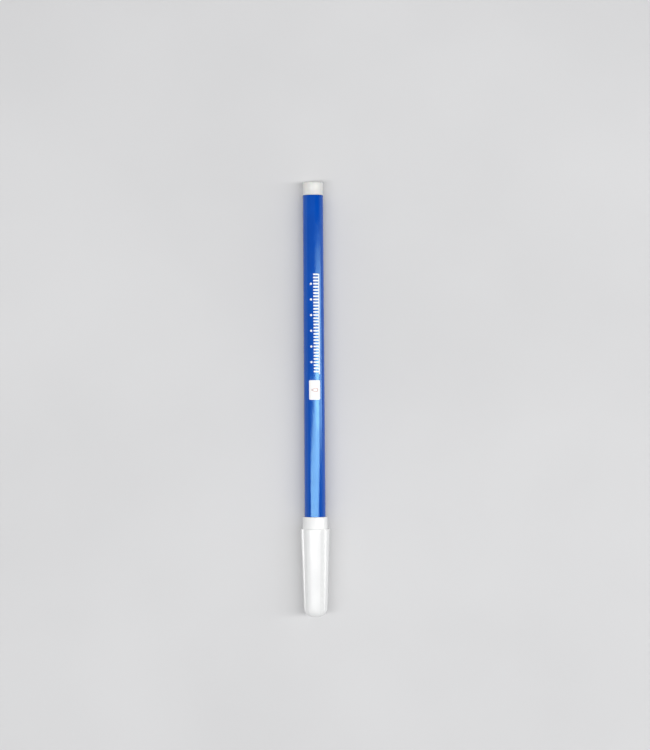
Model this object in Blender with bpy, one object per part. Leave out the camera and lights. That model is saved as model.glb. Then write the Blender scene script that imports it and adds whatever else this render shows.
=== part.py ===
"""Fabric marking pen: a capped fibre-tip marker, built as the separate pieces that a bench strip-down gives.

Run with: blender --background --python part.py

The pen lies along Y with its cap towards -Y and its rear plug towards +Y. +Z is up. The origin is on the
pen's axis, at half its capped length. Every piece is turned or built about its own datum, and its object is
placed on the axis at that datum. Distances in an outline run from the datum towards the tip, along -Y.
"""

import math

import bmesh
import bpy

MM = 0.001

# Whole pen
LENGTH = 160.0 * MM  # capped, end to end
FIT = 0.05 * MM  # gap left between pieces that touch or slide
ROUND_STEPS = 48  # sides of the large turned pieces
FINE_STEPS = 32  # sides of the nib, its holder and the breather tube
WELD = 1e-7

# Rear plug: the head shows, the spigot is pressed into the barrel
PLUG_HEAD_LENGTH = 4.8 * MM
PLUG_HEAD_RADIUS = 3.72 * MM
PLUG_EDGE_RADIUS = 0.5 * MM
PLUG_SPIGOT_LENGTH = 10.5 * MM
PLUG_SEAL_WIDTH = 0.9 * MM
PLUG_WALL = 0.75 * MM
PLUG_PIN_RADIUS = 0.8 * MM

# Barrel: a moulded tube with an ogive nose
BARREL_REAR_RADIUS = 3.76 * MM
BARREL_FRONT_RADIUS = 3.92 * MM
BARREL_BORE = 3.05 * MM
NOSE_LENGTH = 21.5 * MM
NOSE_END_RADIUS = 2.15 * MM
HOLDER_BORE = 1.6 * MM
HOLDER_BORE_LENGTH = 10.5 * MM
BARREL_RIB_COUNT = 4
BARREL_RIB_WIDTH = 0.6 * MM

# Cap: a round collar, then four wide raised panels with a groove between each two. Distances are from the mouth
CAP_LENGTH = 36.8 * MM
CAP_MOUTH_RADIUS = 4.57 * MM
CAP_COLLAR_RADIUS = 4.7 * MM  # where the collar meets the panels
CAP_COLLAR_LENGTH = 4.4 * MM
CAP_PANEL_COUNT = 4
CAP_PANEL_HALF_ANGLE = 31.5  # degrees
CAP_PANEL_TURN = -7.5  # degrees from straight up to the top panel's middle
CAP_PANEL_WALL_ANGLE = 1.5  # degrees taken by a panel's side
CAP_PANEL_RADIUS = 5.35 * MM  # at the collar
CAP_END_RADIUS = 4.35 * MM  # where the end starts to round off
CAP_END_GROOVE = 0.2 * MM
CAP_DOME_RADIUS = 3.0 * MM
CAP_LIP = 0.15 * MM
CAP_MOUTH_BORE = 4.04 * MM
CAP_MOUTH_DEPTH = 6.8 * MM
CAP_SOCKET_DEPTH = 21.8 * MM
GRIP_RIB_COUNT = 6
INNER_CAP_RADIUS = 3.28 * MM  # the soft cup inside, which seals on the nose
INNER_CAP_WALL = 0.45 * MM
INNER_CAP_LENGTH = 12.35 * MM

# Nib and its holder
NIB_RADIUS = 1.0 * MM
NIB_PROTRUSION = 3.6 * MM  # beyond the holder
NIB_POINT_RADIUS = 0.35 * MM
NIB_LENGTH = 32.0 * MM
HOLDER_FLANGE_RADIUS = 1.9 * MM
HOLDER_FLANGE = 0.55 * MM
HOLDER_CONE = 1.8 * MM
HOLDER_FRONT_RADIUS = 1.3 * MM
VENT_GROOVE_COUNT = 4
VENT_GROOVE_WIDTH = 0.4 * MM

# Ink reservoir: a fibre core with a breather tube beside it, both in a film wrap
CORE_RADIUS = 2.6 * MM
CORE_LENGTH = 108.0 * MM
CORE_NIB_BORE_DEPTH = 5.2 * MM
WRAP_THICKNESS = 0.12 * MM
WRAP_INSET = 0.4 * MM
BREATHER_RADIUS = 0.45 * MM
BREATHER_BORE = 0.25 * MM
BREATHER_OFFSET = 2.1 * MM
BREATHER_OVERHANG = 1.6 * MM

# Stations along Y, worked out from the sizes above
PLUG_END = LENGTH / 2
BARREL_REAR = PLUG_END - PLUG_HEAD_LENGTH - FIT
CAP_END = -LENGTH / 2
CAP_MOUTH = CAP_END + CAP_LENGTH
CAP_FLOOR = CAP_END + 2.4 * MM
INNER_CAP_MOUTH = CAP_FLOOR + FIT + INNER_CAP_LENGTH
NOSE_END = CAP_FLOOR + 8.6 * MM
NOSE_START = NOSE_END + NOSE_LENGTH
HOLDER_FRONT = NOSE_END - FIT - HOLDER_FLANGE - HOLDER_CONE
NIB_POINT = HOLDER_FRONT - NIB_PROTRUSION
CORE_FRONT = NOSE_START - 0.5 * MM


def clear_scene():
    for found in list(bpy.data.objects):
        bpy.data.objects.remove(found, do_unlink=True)


def material(name, colour, roughness, metallic=0.0):
    made = bpy.data.materials.new(name)
    made.use_nodes = True
    shader = made.node_tree.nodes["Principled BSDF"]
    shader.inputs["Base Color"].default_value = (*colour, 1.0)
    shader.inputs["Roughness"].default_value = roughness
    shader.inputs["Metallic"].default_value = metallic
    made.diffuse_color = (*colour, 1.0)
    return made


def axis_empty(name, along):
    """An empty on the pen's axis, which carries the pieces that move together."""
    empty = bpy.data.objects.new(name, None)
    empty.location = (0, along, 0)
    bpy.context.scene.collection.objects.link(empty)
    return empty


def add_object(name, bm, finish=None):
    """Turns a bmesh into an object of its own, with outward faces and smooth round surfaces."""
    bmesh.ops.recalc_face_normals(bm, faces=bm.faces)
    mesh = bpy.data.meshes.new(name)
    bm.to_mesh(mesh)
    bm.free()
    if finish:
        mesh.materials.append(finish)
    mesh.shade_smooth()
    mesh.set_sharp_from_angle(angle=math.radians(32))
    made = bpy.data.objects.new(name, mesh)
    bpy.context.scene.collection.objects.link(made)
    return made


def place(piece, parent, along, across=0.0):
    """Puts a piece's datum at a station on the axis, under the empty that moves it."""
    piece.parent = parent
    piece.location = (across, along - parent.location.y, 0)
    return piece


def arc(centre, radius, start, end, steps):
    """Points of an arc in an outline. Angle 0 points along the distance, and 90 outwards."""
    angles = [math.radians(start + (end - start) * i / steps) for i in range(steps + 1)]
    return [(centre[0] + radius * math.cos(a), centre[1] + radius * math.sin(a)) for a in angles]


def turned(name, outline, finish, ring=False, steps=ROUND_STEPS):
    """A solid turned about Y. An outline runs from axis to axis, or is a closed ring on a tube."""
    bm = bmesh.new()
    points = [bm.verts.new((0, -distance, radius)) for distance, radius in outline]
    edges = [bm.edges.new(ends) for ends in zip(points, points[1:])]
    if ring:
        edges.append(bm.edges.new((points[-1], points[0])))
    bmesh.ops.spin(
        bm, geom=points + edges, cent=(0, 0, 0), axis=(0, 1, 0), angle=math.tau, steps=steps, use_merge=True
    )
    bmesh.ops.remove_doubles(bm, verts=bm.verts, dist=WELD)
    return add_object(name, bm, finish)


def add_prism(bm, sections, turn=0.0):
    """Adds a prism to bm. Each section is (distance, height, half width), seen from the side, in order round it."""
    left = [(-half, -distance, height) for distance, height, half in sections]
    right = [(half, -distance, height) for distance, height, half in sections]
    cos, sin = math.cos(turn), math.sin(turn)
    rings = [
        [bm.verts.new((x * cos + z * sin, y, z * cos - x * sin)) for x, y, z in side] for side in (left, right)
    ]
    bm.faces.new(rings[0])
    bm.faces.new(reversed(rings[1]))
    for i in range(len(sections)):
        j = (i + 1) % len(sections)
        bm.faces.new((rings[0][j], rings[0][i], rings[1][i], rings[1][j]))


def panel_angles():
    """(angle, whether it is on a panel) of each point round the cap."""
    half, wall, pitch = CAP_PANEL_HALF_ANGLE, CAP_PANEL_WALL_ANGLE, 360 / CAP_PANEL_COUNT
    steps = 7
    across = [(-half + 2 * half * i / steps, True) for i in range(steps + 1)]
    groove_start = half + wall
    groove = pitch - 2 * groove_start
    across += [(groove_start + groove * i / 3, False) for i in range(4)]
    turns = [CAP_PANEL_TURN + pitch * i for i in range(CAP_PANEL_COUNT)]
    return [(math.radians(turn + angle), raised) for turn in turns for angle, raised in across]


def panelled(name, rings, finish):
    """A solid lofted from pole to pole through rings of (distance, radius on a panel, radius in a groove)."""
    bm = bmesh.new()
    angles = panel_angles()
    loops = []
    for distance, panel, groove in rings:
        radii = [panel if raised else groove for angle, raised in angles]
        loops.append(
            [bm.verts.new((r * math.sin(a), -distance, r * math.cos(a))) for r, (a, raised) in zip(radii, angles)]
        )
    for first, second in zip(loops, loops[1:]):
        for i in range(len(angles)):
            j = (i + 1) % len(angles)
            bm.faces.new((first[i], first[j], second[j], second[i]))
    bmesh.ops.remove_doubles(bm, verts=bm.verts, dist=WELD)
    return add_object(name, bm, finish)


def spoke_tool(name, count, sections, first_turn=0.0):
    """A hidden tool: the same prism repeated evenly about Y."""
    bm = bmesh.new()
    for i in range(count):
        add_prism(bm, sections, first_turn + math.tau * i / count)
    tool = add_object(name, bm)
    tool.hide_render = True
    tool.display_type = "WIRE"
    return tool


def bar_sections(start, end, low, high, width):
    """The sections of a plain bar from start to end, between two heights."""
    half = width / 2
    return [(start, low, half), (start, high, half), (end, high, half), (end, low, half)]


def boolean(piece, tool, operation):
    """Joins or cuts with a tool, which goes where the piece is."""
    tool.parent = piece.parent
    tool.location = piece.location
    step = piece.modifiers.new(tool.name, "BOOLEAN")
    step.operation = operation
    step.solver = "EXACT"
    step.object = tool


def nose_radius(distance):
    """The ogive's radius at a distance from its start: an arc that leaves the barrel tangentially."""
    drop = BARREL_FRONT_RADIUS - NOSE_END_RADIUS
    arc_radius = (NOSE_LENGTH**2 + drop**2) / (2 * drop)
    return BARREL_FRONT_RADIUS - arc_radius + math.sqrt(arc_radius**2 - distance**2)


def make_rear_plug(finish, parent):
    """White plug: a rounded head, and a hollow spigot with two seal rings and a pin that stops the core."""
    spigot_radius = BARREL_BORE - 3 * FIT
    seal_radius = BARREL_BORE - FIT
    spigot_end = PLUG_HEAD_LENGTH + PLUG_SPIGOT_LENGTH
    pin_end = PLUG_END - (CORE_FRONT + CORE_LENGTH) - FIT
    cavity_start = PLUG_HEAD_LENGTH - 0.8 * MM
    cavity_radius = spigot_radius - PLUG_WALL
    edge = PLUG_EDGE_RADIUS
    outline = [(0, 0)]
    outline += arc((edge, PLUG_HEAD_RADIUS - edge), edge, 180, 90, 4)
    outline += [(PLUG_HEAD_LENGTH, PLUG_HEAD_RADIUS), (PLUG_HEAD_LENGTH, spigot_radius)]
    for seal_start in (PLUG_HEAD_LENGTH + 1.6 * MM, PLUG_HEAD_LENGTH + 5.4 * MM):
        slope = (seal_radius - spigot_radius) * 2
        outline += [
            (seal_start, spigot_radius),
            (seal_start + slope, seal_radius),
            (seal_start + PLUG_SEAL_WIDTH - slope, seal_radius),
            (seal_start + PLUG_SEAL_WIDTH, spigot_radius),
        ]
    outline += [
        (spigot_end - 0.8 * MM, spigot_radius),
        (spigot_end, spigot_radius - 0.3 * MM),
        (spigot_end, cavity_radius),
        (cavity_start, cavity_radius),
        (cavity_start, PLUG_PIN_RADIUS * 1.15),
        (pin_end, PLUG_PIN_RADIUS),
        (pin_end, 0),
    ]
    return place(turned("rear_plug", outline, finish), parent, PLUG_END)


def make_barrel(finish, parent):
    """Blue barrel: a slightly tapered tube, an ogive nose, and ribs in the bore that leave air round the core."""
    nose_start = BARREL_REAR - NOSE_START
    nose_end = BARREL_REAR - NOSE_END
    cone_end = nose_end - HOLDER_BORE_LENGTH
    lip = 0.15 * MM
    outline = [(0, BARREL_BORE + lip), (0, BARREL_REAR_RADIUS - lip), (lip, BARREL_REAR_RADIUS)]
    nose_steps = 9
    for i in range(nose_steps):
        distance = NOSE_LENGTH * i / nose_steps
        outline.append((nose_start + distance, nose_radius(distance)))
    outline += [
        (nose_end - lip, NOSE_END_RADIUS),
        (nose_end, NOSE_END_RADIUS - lip),
        (nose_end, HOLDER_BORE),
        (cone_end, HOLDER_BORE),
        (nose_start + 1.0 * MM, BARREL_BORE),
        (lip, BARREL_BORE),
    ]
    barrel = turned("barrel", outline, finish, ring=True)
    place(barrel, parent, BARREL_REAR)
    rib_face = CORE_RADIUS + WRAP_THICKNESS + 2 * FIT + 0.03 * MM
    sections = bar_sections(18 * MM, nose_start - 2 * MM, rib_face, BARREL_BORE + 0.3 * MM, BARREL_RIB_WIDTH)
    boolean(barrel, spoke_tool("barrel_rib_tool", BARREL_RIB_COUNT, sections, math.radians(45)), "UNION")
    return barrel


def make_nib_holder(finish, parent):
    """Nib holder: a flanged bush in the nose, with a tapered front and vent grooves along its bore."""
    body_radius = HOLDER_BORE - FIT
    bore = NIB_RADIUS + FIT
    front = HOLDER_CONE
    flange_rear = front + HOLDER_FLANGE
    rear = flange_rear + HOLDER_BORE_LENGTH - 0.4 * MM
    outline = [
        (0, bore),
        (0, HOLDER_FRONT_RADIUS),
        (-front, HOLDER_FRONT_RADIUS + 0.35 * MM),
        (-front, HOLDER_FLANGE_RADIUS - 0.1 * MM),
        (-front - 0.1 * MM, HOLDER_FLANGE_RADIUS),
        (-flange_rear, HOLDER_FLANGE_RADIUS),
        (-flange_rear, body_radius),
        (0.4 * MM - rear, body_radius),
        (-rear, body_radius - 0.2 * MM),
        (-rear, bore),
    ]
    holder = turned("nib_holder", outline, finish, ring=True, steps=FINE_STEPS)
    place(holder, parent, HOLDER_FRONT)
    groove = bar_sections(-rear - 1 * MM, -front, bore - 0.3 * MM, bore + 0.22 * MM, VENT_GROOVE_WIDTH)
    boolean(holder, spoke_tool("vent_groove_tool", VENT_GROOVE_COUNT, groove), "DIFFERENCE")
    return holder


def make_nib(finish, parent):
    """Fibre nib: a rod with a ground point at the front and a chamfer where it enters the core."""
    tip = NIB_POINT_RADIUS
    cone_length = 2.3 * MM
    tip_arc = arc((-tip, 0), tip, 0, 70, 4)
    outline = tip_arc + [
        (-cone_length, NIB_RADIUS - 0.08 * MM),
        (-cone_length - 0.25 * MM, NIB_RADIUS),
        (0.5 * MM - NIB_LENGTH, NIB_RADIUS),
        (-NIB_LENGTH, NIB_RADIUS - 0.3 * MM),
        (-NIB_LENGTH, 0),
    ]
    return place(turned("nib", outline, finish, steps=FINE_STEPS), parent, NIB_POINT)


def make_ink_core(finish, parent):
    """Fibre core that holds the ink. The nib pushes into its front, and a slot takes the breather tube."""
    bore = NIB_RADIUS + FIT + 0.01 * MM
    outline = [
        (0, 0),
        (0, CORE_RADIUS),
        (CORE_LENGTH, CORE_RADIUS),
        (CORE_LENGTH, bore),
        (CORE_LENGTH - CORE_NIB_BORE_DEPTH, bore),
        (CORE_LENGTH - CORE_NIB_BORE_DEPTH, 0),
    ]
    core = turned("ink_core", outline, finish)
    place(core, parent, CORE_FRONT + CORE_LENGTH)
    slot_floor = BREATHER_OFFSET - BREATHER_RADIUS - FIT
    slot_width = 2 * (BREATHER_RADIUS + FIT)
    slot = bar_sections(-1 * MM, CORE_LENGTH + 1 * MM, slot_floor, CORE_RADIUS + 1 * MM, slot_width)
    boolean(core, spoke_tool("breather_slot_tool", 1, slot, math.radians(90)), "DIFFERENCE")
    return core


def make_core_wrap(finish, parent):
    """Film wrap: a thin sleeve that keeps the ink off the barrel."""
    inner = CORE_RADIUS + FIT
    length = CORE_LENGTH - 2 * WRAP_INSET
    outline = [(0, inner), (0, inner + WRAP_THICKNESS), (length, inner + WRAP_THICKNESS), (length, inner)]
    return place(turned("core_wrap", outline, finish, ring=True), parent, CORE_FRONT + CORE_LENGTH - WRAP_INSET)


def make_breather_tube(finish, parent):
    """Breather tube: lets air past the wet core to the chamber behind the nib."""
    length = CORE_LENGTH + 2 * BREATHER_OVERHANG
    outline = [(0, BREATHER_BORE), (0, BREATHER_RADIUS), (length, BREATHER_RADIUS), (length, BREATHER_BORE)]
    tube = turned("breather_tube", outline, finish, ring=True, steps=16)
    return place(tube, parent, CORE_FRONT + CORE_LENGTH + BREATHER_OVERHANG, BREATHER_OFFSET)


def cap_side_ring(share):
    """A ring of the cap's side, from the collar (share 0) to where its end rounds off (share 1)."""
    depth = CAP_PANEL_RADIUS - CAP_COLLAR_RADIUS
    panel = CAP_PANEL_RADIUS + (CAP_END_RADIUS - CAP_PANEL_RADIUS) * share
    side_length = CAP_LENGTH - CAP_DOME_RADIUS - CAP_COLLAR_LENGTH
    return CAP_COLLAR_LENGTH + side_length * share, panel, panel - depth - (CAP_END_GROOVE - depth) * share


def cap_dome_ring(angle):
    """A ring of the cap's rounded end, where the grooves run out."""
    panel = CAP_END_RADIUS - CAP_DOME_RADIUS * (1 - math.cos(angle))
    distance = CAP_LENGTH - CAP_DOME_RADIUS * (1 - math.sin(angle))
    return distance, panel, panel - CAP_END_GROOVE * (1 - math.sin(angle))


def make_cap(finish, parent):
    """White cap: a collar and four tapering panels outside; a mouth with grip ribs and a blind socket inside."""
    floor = CAP_LENGTH - (CAP_FLOOR - CAP_END)
    socket = INNER_CAP_RADIUS + FIT
    inside = [
        (floor, 0),
        (floor, socket),
        (CAP_SOCKET_DEPTH, socket),
        (CAP_SOCKET_DEPTH - 0.2 * MM, socket + 0.08 * MM),
        (CAP_MOUTH_DEPTH + 0.4 * MM, CAP_MOUTH_BORE - 0.06 * MM),
        (CAP_MOUTH_DEPTH, CAP_MOUTH_BORE),
        (CAP_LIP, CAP_MOUTH_BORE),
        (0, CAP_MOUTH_BORE + CAP_LIP),
    ]
    collar = [
        (0, CAP_MOUTH_RADIUS - CAP_LIP),
        (CAP_LIP, CAP_MOUTH_RADIUS),
        (CAP_COLLAR_LENGTH, CAP_COLLAR_RADIUS),
    ]
    rings = [(distance, radius, radius) for distance, radius in inside + collar]
    rings += [cap_side_ring(i / 3) for i in range(4)]
    rings += [cap_dome_ring(math.radians(90 * i / 7)) for i in range(1, 8)]
    rings.append((CAP_LENGTH, 0, 0))
    cap = panelled("cap", rings, finish)
    place(cap, parent, CAP_MOUTH)
    grip = bar_sections(
        0.8 * MM, CAP_MOUTH_DEPTH - 0.3 * MM, BARREL_FRONT_RADIUS + FIT, CAP_MOUTH_BORE + 0.2 * MM, 0.5 * MM
    )
    boolean(cap, spoke_tool("grip_rib_tool", GRIP_RIB_COUNT, grip, math.radians(30)), "UNION")
    return cap


def make_inner_cap(finish, parent):
    """Inner cap: a soft cup pressed into the cap, whose lip seals on the nose so that the nib can't dry."""
    lip_gap = 0.06 * MM
    from_nose_start = NOSE_START - INNER_CAP_MOUTH
    lip_depth = 0.8 * MM
    bore = INNER_CAP_RADIUS - INNER_CAP_WALL
    floor = INNER_CAP_LENGTH - 0.7 * MM
    outline = [
        (floor, 0),
        (floor, bore),
        (lip_depth + 0.8 * MM, bore),
        (lip_depth, nose_radius(from_nose_start + lip_depth) + lip_gap),
        (0, nose_radius(from_nose_start) + lip_gap),
        (0, INNER_CAP_RADIUS - 0.12 * MM),
        (0.3 * MM, INNER_CAP_RADIUS),
        (INNER_CAP_LENGTH - 0.3 * MM, INNER_CAP_RADIUS),
        (INNER_CAP_LENGTH, INNER_CAP_RADIUS - 0.3 * MM),
        (INNER_CAP_LENGTH, 0),
    ]
    return place(turned("inner_cap", outline, finish), parent, INNER_CAP_MOUTH)


def main():
    clear_scene()
    blue_plastic = material("barrel_blue", (0.002, 0.082, 0.46), 0.22)
    white_plastic = material("cap_white", (0.86, 0.87, 0.86), 0.3)
    plug_plastic = material("plug_white", (0.74, 0.75, 0.74), 0.38)
    natural_plastic = material("natural_plastic", (0.8, 0.79, 0.74), 0.45)
    holder_plastic = material("holder_ivory", (0.78, 0.74, 0.64), 0.4)
    nib_fibre = material("nib_fibre", (0.62, 0.68, 0.78), 0.8)
    core_fibre = material("core_fibre", (0.12, 0.3, 0.66), 0.9)
    film = material("wrap_film", (0.8, 0.85, 0.9), 0.15)
    tube_plastic = material("breather_plastic", (0.85, 0.86, 0.87), 0.35)

    pen_axis = axis_empty("pen_axis", 0.0)
    cap_axis = axis_empty("cap_axis", CAP_MOUTH)
    make_rear_plug(plug_plastic, pen_axis)
    make_barrel(blue_plastic, pen_axis)
    make_nib_holder(holder_plastic, pen_axis)
    make_nib(nib_fibre, pen_axis)
    make_ink_core(core_fibre, pen_axis)
    make_core_wrap(film, pen_axis)
    make_breather_tube(tube_plastic, pen_axis)
    make_cap(white_plastic, cap_axis)
    make_inner_cap(natural_plastic, cap_axis)


main()
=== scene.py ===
# %% [markdown]
# # A fabric marking pen
#
# This notebook dresses a slim marking pen for sewing: a blue barrel with a white cap, a white plug at
# its rear and a fibre nib under the cap. The engineering model is loaded first. It fixes where every
# piece goes and how it moves, so each piece below is built in that model's own frame and takes its
# place from it.
#
# The pen lies along Y, with its cap towards -Y and its plug towards +Y, and +Z is up.

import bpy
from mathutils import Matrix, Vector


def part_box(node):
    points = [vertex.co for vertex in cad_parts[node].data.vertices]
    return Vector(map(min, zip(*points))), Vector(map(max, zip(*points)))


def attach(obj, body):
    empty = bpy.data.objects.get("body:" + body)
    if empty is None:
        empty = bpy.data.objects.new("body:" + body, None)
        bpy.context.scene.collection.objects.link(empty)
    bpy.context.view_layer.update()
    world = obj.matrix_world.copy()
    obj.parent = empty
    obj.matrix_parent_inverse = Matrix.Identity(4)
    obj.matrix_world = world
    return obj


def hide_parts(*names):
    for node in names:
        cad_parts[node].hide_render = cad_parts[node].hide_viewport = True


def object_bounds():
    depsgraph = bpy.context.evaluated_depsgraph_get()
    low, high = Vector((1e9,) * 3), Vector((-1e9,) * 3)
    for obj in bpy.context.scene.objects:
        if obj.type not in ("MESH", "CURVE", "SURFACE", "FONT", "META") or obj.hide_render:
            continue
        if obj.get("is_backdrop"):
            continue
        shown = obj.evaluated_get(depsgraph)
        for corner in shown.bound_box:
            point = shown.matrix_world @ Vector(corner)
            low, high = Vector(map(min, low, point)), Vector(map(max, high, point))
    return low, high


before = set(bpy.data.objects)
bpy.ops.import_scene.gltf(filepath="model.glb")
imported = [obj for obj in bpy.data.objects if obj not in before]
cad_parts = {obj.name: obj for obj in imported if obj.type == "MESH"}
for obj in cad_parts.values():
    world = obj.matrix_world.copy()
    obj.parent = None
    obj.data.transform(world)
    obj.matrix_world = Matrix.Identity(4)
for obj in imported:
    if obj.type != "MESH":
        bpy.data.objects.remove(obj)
cad_low, cad_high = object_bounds()
print("nodes:", ", ".join(sorted(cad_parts)))

# %% [markdown]
# Almost every piece of a pen is a turned shape, so the first helper reads the engineering model the way
# a caliper would: it finds the widest or the narrowest corner of a piece between two stations along Y.
# The sizes used later are read with it, and so the looks can't drift away from the model that moves.

# %% A caliper for the engineering model
import math

import bmesh
import bpy
import numpy as np
from mathutils import Matrix, Quaternion, Vector

MM = 0.001
NUDGE = 0.01 * MM  # how far past a station its size is read, so that its own corners count
FIT = 0.05 * MM  # the air left where one piece sits in or on another


def corners(node, low=-1.0, high=1.0):
    """(station along Y, distance from the axis) of each corner of a node between two stations."""
    points = np.array([v.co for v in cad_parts[node].data.vertices], float)
    found = np.column_stack([points[:, 1], np.hypot(points[:, 0], points[:, 2])])
    return found[(found[:, 0] >= low) & (found[:, 0] <= high)]


def widest(node, low=-1.0, high=1.0):
    found = corners(node, low, high)
    return found[found[:, 1].argmax()]


def narrowest(node, low=-1.0, high=1.0):
    found = corners(node, low, high)
    return found[found[:, 1].argmin()]


def ends(node):
    """The stations along Y of a node's two ends, the one nearer the cap first."""
    return [corner.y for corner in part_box(node)]


plug_front, plug_end = ends("rear_plug")
barrel_nose, barrel_rear = ends("barrel")
cap_end, cap_mouth = ends("cap")
print(f"pen {(plug_end - cap_end) / MM:.1f} mm long, cap {(cap_mouth - cap_end) / MM:.1f} mm")

# %% [markdown]
# Both Geometry Nodes and materials are node trees, and a script that builds them is easier to read with
# two small helpers. `add_node` adds one node, sets its properties and feeds its inputs. `maths` adds a
# Math node and gives back its result, so that a formula can be written almost as on paper.


# %% Helpers for node trees
def add_node(tree, kind, feeds=None, **settings):
    """Adds a node. feeds maps an input's name or number to a value, or to the socket that drives it."""
    made = tree.nodes.new(kind)
    for name, value in settings.items():
        setattr(made, name, value)
    for key, value in (feeds or {}).items():
        if isinstance(value, bpy.types.NodeSocket):
            tree.links.new(value, made.inputs[key])
        else:
            made.inputs[key].default_value = value
    return made


def maths(tree, operation, *values):
    return add_node(tree, "ShaderNodeMath", dict(enumerate(values)), operation=operation).outputs[0]


# %% [markdown]
# Every Geometry Nodes tree here is used in the same way. `geometry_tree` opens one with named inputs,
# and `end_tree` closes it. `run_tree` puts it on an object as a modifier, sets its inputs, takes the
# result as a plain mesh and throws the object away, so that no finished piece carries a modifier.


# %% Helpers for Geometry Nodes
def geometry_tree(name, inputs):
    """A Geometry Nodes tree with a Geometry input, the named inputs and a Geometry output."""
    tree = bpy.data.node_groups.new(name, "GeometryNodeTree")
    tree.interface.new_socket(name="Geometry", in_out="OUTPUT", socket_type="NodeSocketGeometry")
    tree.interface.new_socket(name="Geometry", in_out="INPUT", socket_type="NodeSocketGeometry")
    for label, kind in inputs:
        tree.interface.new_socket(name=label, in_out="INPUT", socket_type=f"NodeSocket{kind}")
    return tree, add_node(tree, "NodeGroupInput").outputs


def end_tree(tree, geometry, finish):
    """Ends a tree: instances become real geometry, and every face gets the finish."""
    real = add_node(tree, "GeometryNodeRealizeInstances", {"Geometry": geometry})
    painted = add_node(tree, "GeometryNodeSetMaterial", {"Geometry": real.outputs[0], "Material": finish})
    add_node(tree, "NodeGroupOutput", {"Geometry": painted.outputs[0]})


def run_tree(tree, mesh, values):
    """The plain mesh that a tree makes from a mesh. values maps the names of its inputs to values."""
    source = bpy.data.objects.new("source", mesh)
    bpy.context.scene.collection.objects.link(source)
    step = source.modifiers.new("steps", "NODES")
    step.node_group = tree
    for item in tree.interface.items_tree:
        if item.in_out == "INPUT" and item.name in values:
            step[item.identifier] = values[item.name]
    graph = bpy.context.evaluated_depsgraph_get()
    made = bpy.data.meshes.new_from_object(source.evaluated_get(graph))
    bpy.data.objects.remove(source)
    return made


def points_mesh(points):
    mesh = bpy.data.meshes.new("outline")
    mesh.from_pydata(points, [], [])
    return mesh


# %% [markdown]
# ## The finishes
#
# Each finish is a Principled BSDF whose colour, roughness and bump come from noise, because real
# moulded plastic is never even: the melt leaves faint lengthwise flow marks, the mould leaves a little
# orange peel, and handling leaves fine scratches and dull patches. The patterns read Object coordinates
# in metres, so a scale of 1000 makes features of about one millimetre.


# %% Helpers for finishes
def noise(tree, scale, stretch=(1, 1, 1), detail=3.0):
    """Noise in Object coordinates. stretch scales the pattern's axes, so a small number draws it out."""
    place = add_node(tree, "ShaderNodeTexCoord").outputs["Object"]
    place = add_node(tree, "ShaderNodeMapping", {"Vector": place, "Scale": stretch}).outputs[0]
    made = add_node(tree, "ShaderNodeTexNoise", {"Vector": place, "Scale": scale, "Detail": detail})
    return made.outputs["Fac"]


def ramp(tree, value, start, end, low, high):
    """value, taken from between start and end to between low and high."""
    feeds = {0: value, 1: start, 2: end, 3: low, 4: high}
    return add_node(tree, "ShaderNodeMapRange", feeds, interpolation_type="SMOOTHSTEP").outputs[0]


def blend(tree, share, first, second):
    """A colour between two, each a tuple or a socket."""
    made = add_node(tree, "ShaderNodeMix", {"Factor": share}, data_type="RGBA")
    for socket, colour in ((made.inputs[6], first), (made.inputs[7], second)):
        if isinstance(colour, bpy.types.NodeSocket):
            tree.links.new(colour, socket)
        else:
            socket.default_value = (*colour, 1.0)
    return made.outputs[2]


def bumps(tree, *layers):
    """A normal from layers of (height from 0 to 1, depth in metres), one on top of another."""
    normal = None
    for height, depth in layers:
        feeds = {"Height": height, "Strength": 1.0, "Distance": depth}
        if normal:
            feeds["Normal"] = normal
        normal = add_node(tree, "ShaderNodeBump", feeds).outputs[0]
    return normal


def finish(name, **constants):
    """A material, its tree and its shader. constants are even values, set on the shader's sockets."""
    made = bpy.data.materials.new(name)
    made.use_nodes = True
    shader = made.node_tree.nodes["Principled BSDF"]
    for key, value in constants.items():
        shader.inputs[key.replace("_", " ")].default_value = value
    return made, made.node_tree, shader


def dress(tree, shader, colour, roughness, normal):
    for name, socket in (("Base Color", colour), ("Roughness", roughness), ("Normal", normal)):
        tree.links.new(socket, shader.inputs[name])


LENGTHWISE = (1, 0.04, 1)  # draws a pattern out along the pen


def moulded(name, light, dark, gloss, dull, peel=0.9e-6, **constants):
    """Moulded plastic: two close colours, roughness from gloss to dull, orange peel, fine scratches."""
    made, tree, shader = finish(name, **constants)
    flow = noise(tree, 900, LENGTHWISE)
    cloud = noise(tree, 140)
    mixed = maths(tree, "MULTIPLY_ADD", flow, 0.5, maths(tree, "MULTIPLY", cloud, 0.5))
    colour = blend(tree, ramp(tree, mixed, 0.35, 0.65, 0.0, 1.0), dark, light)
    smudge = ramp(tree, noise(tree, 220, detail=5.0), 0.5, 0.72, 0.0, 0.45)
    grain = ramp(tree, noise(tree, 2600), 0.3, 0.7, 0.0, 0.4)
    roughness = ramp(tree, maths(tree, "ADD", smudge, grain), 0.0, 1.0, gloss, dull)
    scratch = ramp(tree, noise(tree, 5200, (1, 0.02, 1), 1.0), 0.70, 0.76, 0.0, 1.0)
    normal = bumps(tree, (noise(tree, 750, detail=1.0), peel * 4), (scratch, peel), (grain, peel))
    dress(tree, shader, colour, roughness, normal)
    return made


# %% [markdown]
# The barrel is polypropylene coloured through with a strong blue pigment, moulded in a polished cavity,
# so it is glossy. The rear plug is satin. It and the small pieces hold little pigment, so some light gets
# in under their skin, which subsurface scattering gives.

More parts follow.
